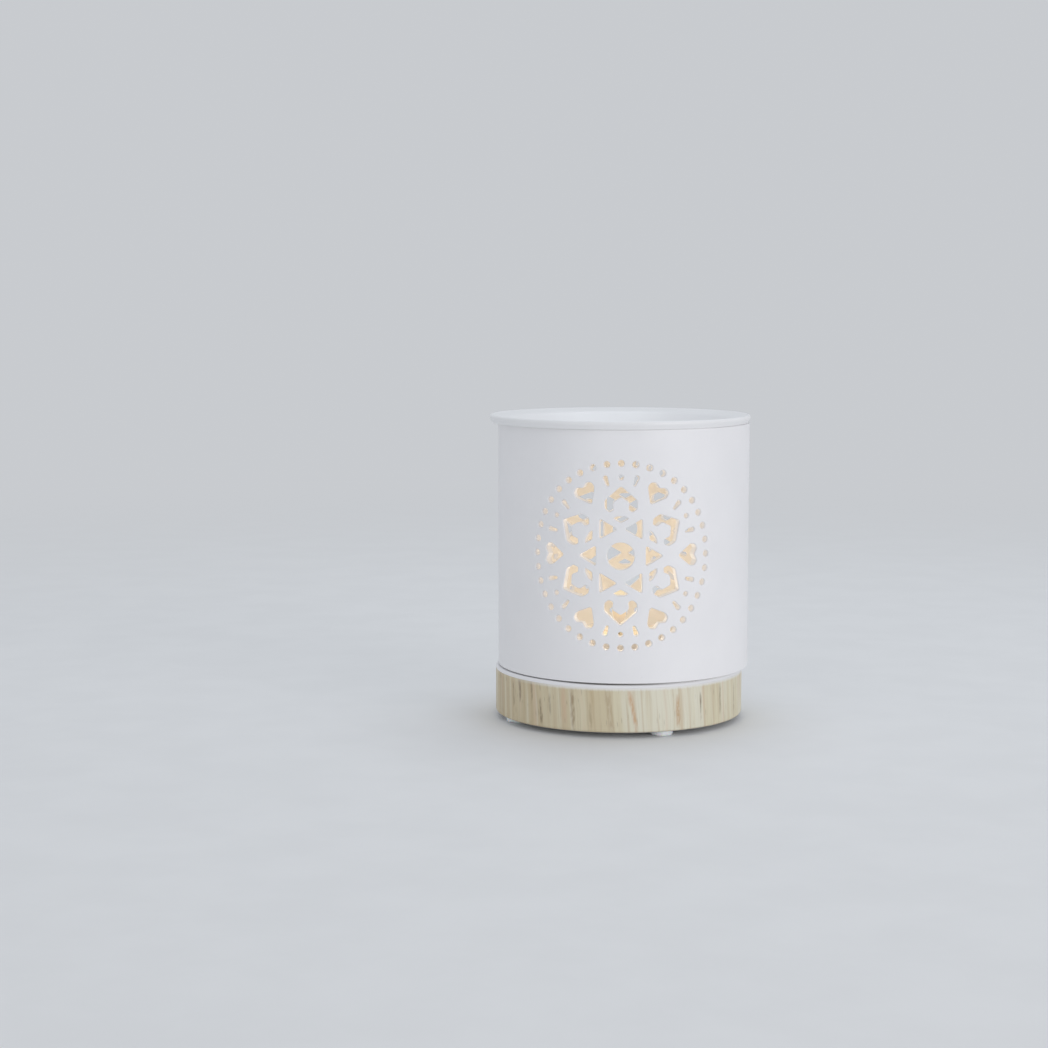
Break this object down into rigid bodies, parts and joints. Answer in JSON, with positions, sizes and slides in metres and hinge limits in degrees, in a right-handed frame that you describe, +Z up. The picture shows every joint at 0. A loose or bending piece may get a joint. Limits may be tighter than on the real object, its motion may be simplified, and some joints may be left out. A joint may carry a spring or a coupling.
{
  "type": "essential oil burner",
  "caption": "Round ceramic oil burner: pierced tube on a wood-effect base, lift-off flared oil dish on top, tealight inside.",
  "frame": {"origin": "on the table, on the burner's axis, level with the undersides of the feet", "axes": "+Z up along the burner's axis, -Y towards the front, where one pierced rosette is centred"},
  "size_m": [0.1038, 0.1038, 0.1214],
  "materials": {
    "white_ceramic": "satin",
    "wood_effect": "satin",
    "foot_pad": "satin",
    "cup_metal": "satin",
    "candle_wax": "satin",
    "tab_metal": "satin",
    "wick_cotton": "matte",
    "flame": "matte"
  },
  "bodies": {
    "base": {"base_body": "white_ceramic", "wood_effect_wrap": "wood_effect", "foot_front": "foot_pad", "foot_right": "foot_pad", "foot_rear": "foot_pad", "foot_left": "foot_pad"},
    "shade": {"shade": "white_ceramic"},
    "dish": {"oil_dish": "white_ceramic"},
    "tealight": {"tealight_cup": "cup_metal", "tealight_wax": "candle_wax", "wick_tab": "tab_metal", "wick": "wick_cotton"}
  },
  "joints": [
    {"name": "shade_lift", "type": "slide", "parent": "base", "child": "shade", "axis": [0, 0, 1], "range_m": [0, 0.1]},
    {"name": "dish_lift", "type": "slide", "parent": "shade", "child": "dish", "axis": [0, 0, 1], "range_m": [0, 0.06]},
    {"name": "tealight_lift", "type": "slide", "parent": "base", "child": "tealight", "axis": [0, 0, 1], "range_m": [0, 0.045]}
  ]
}
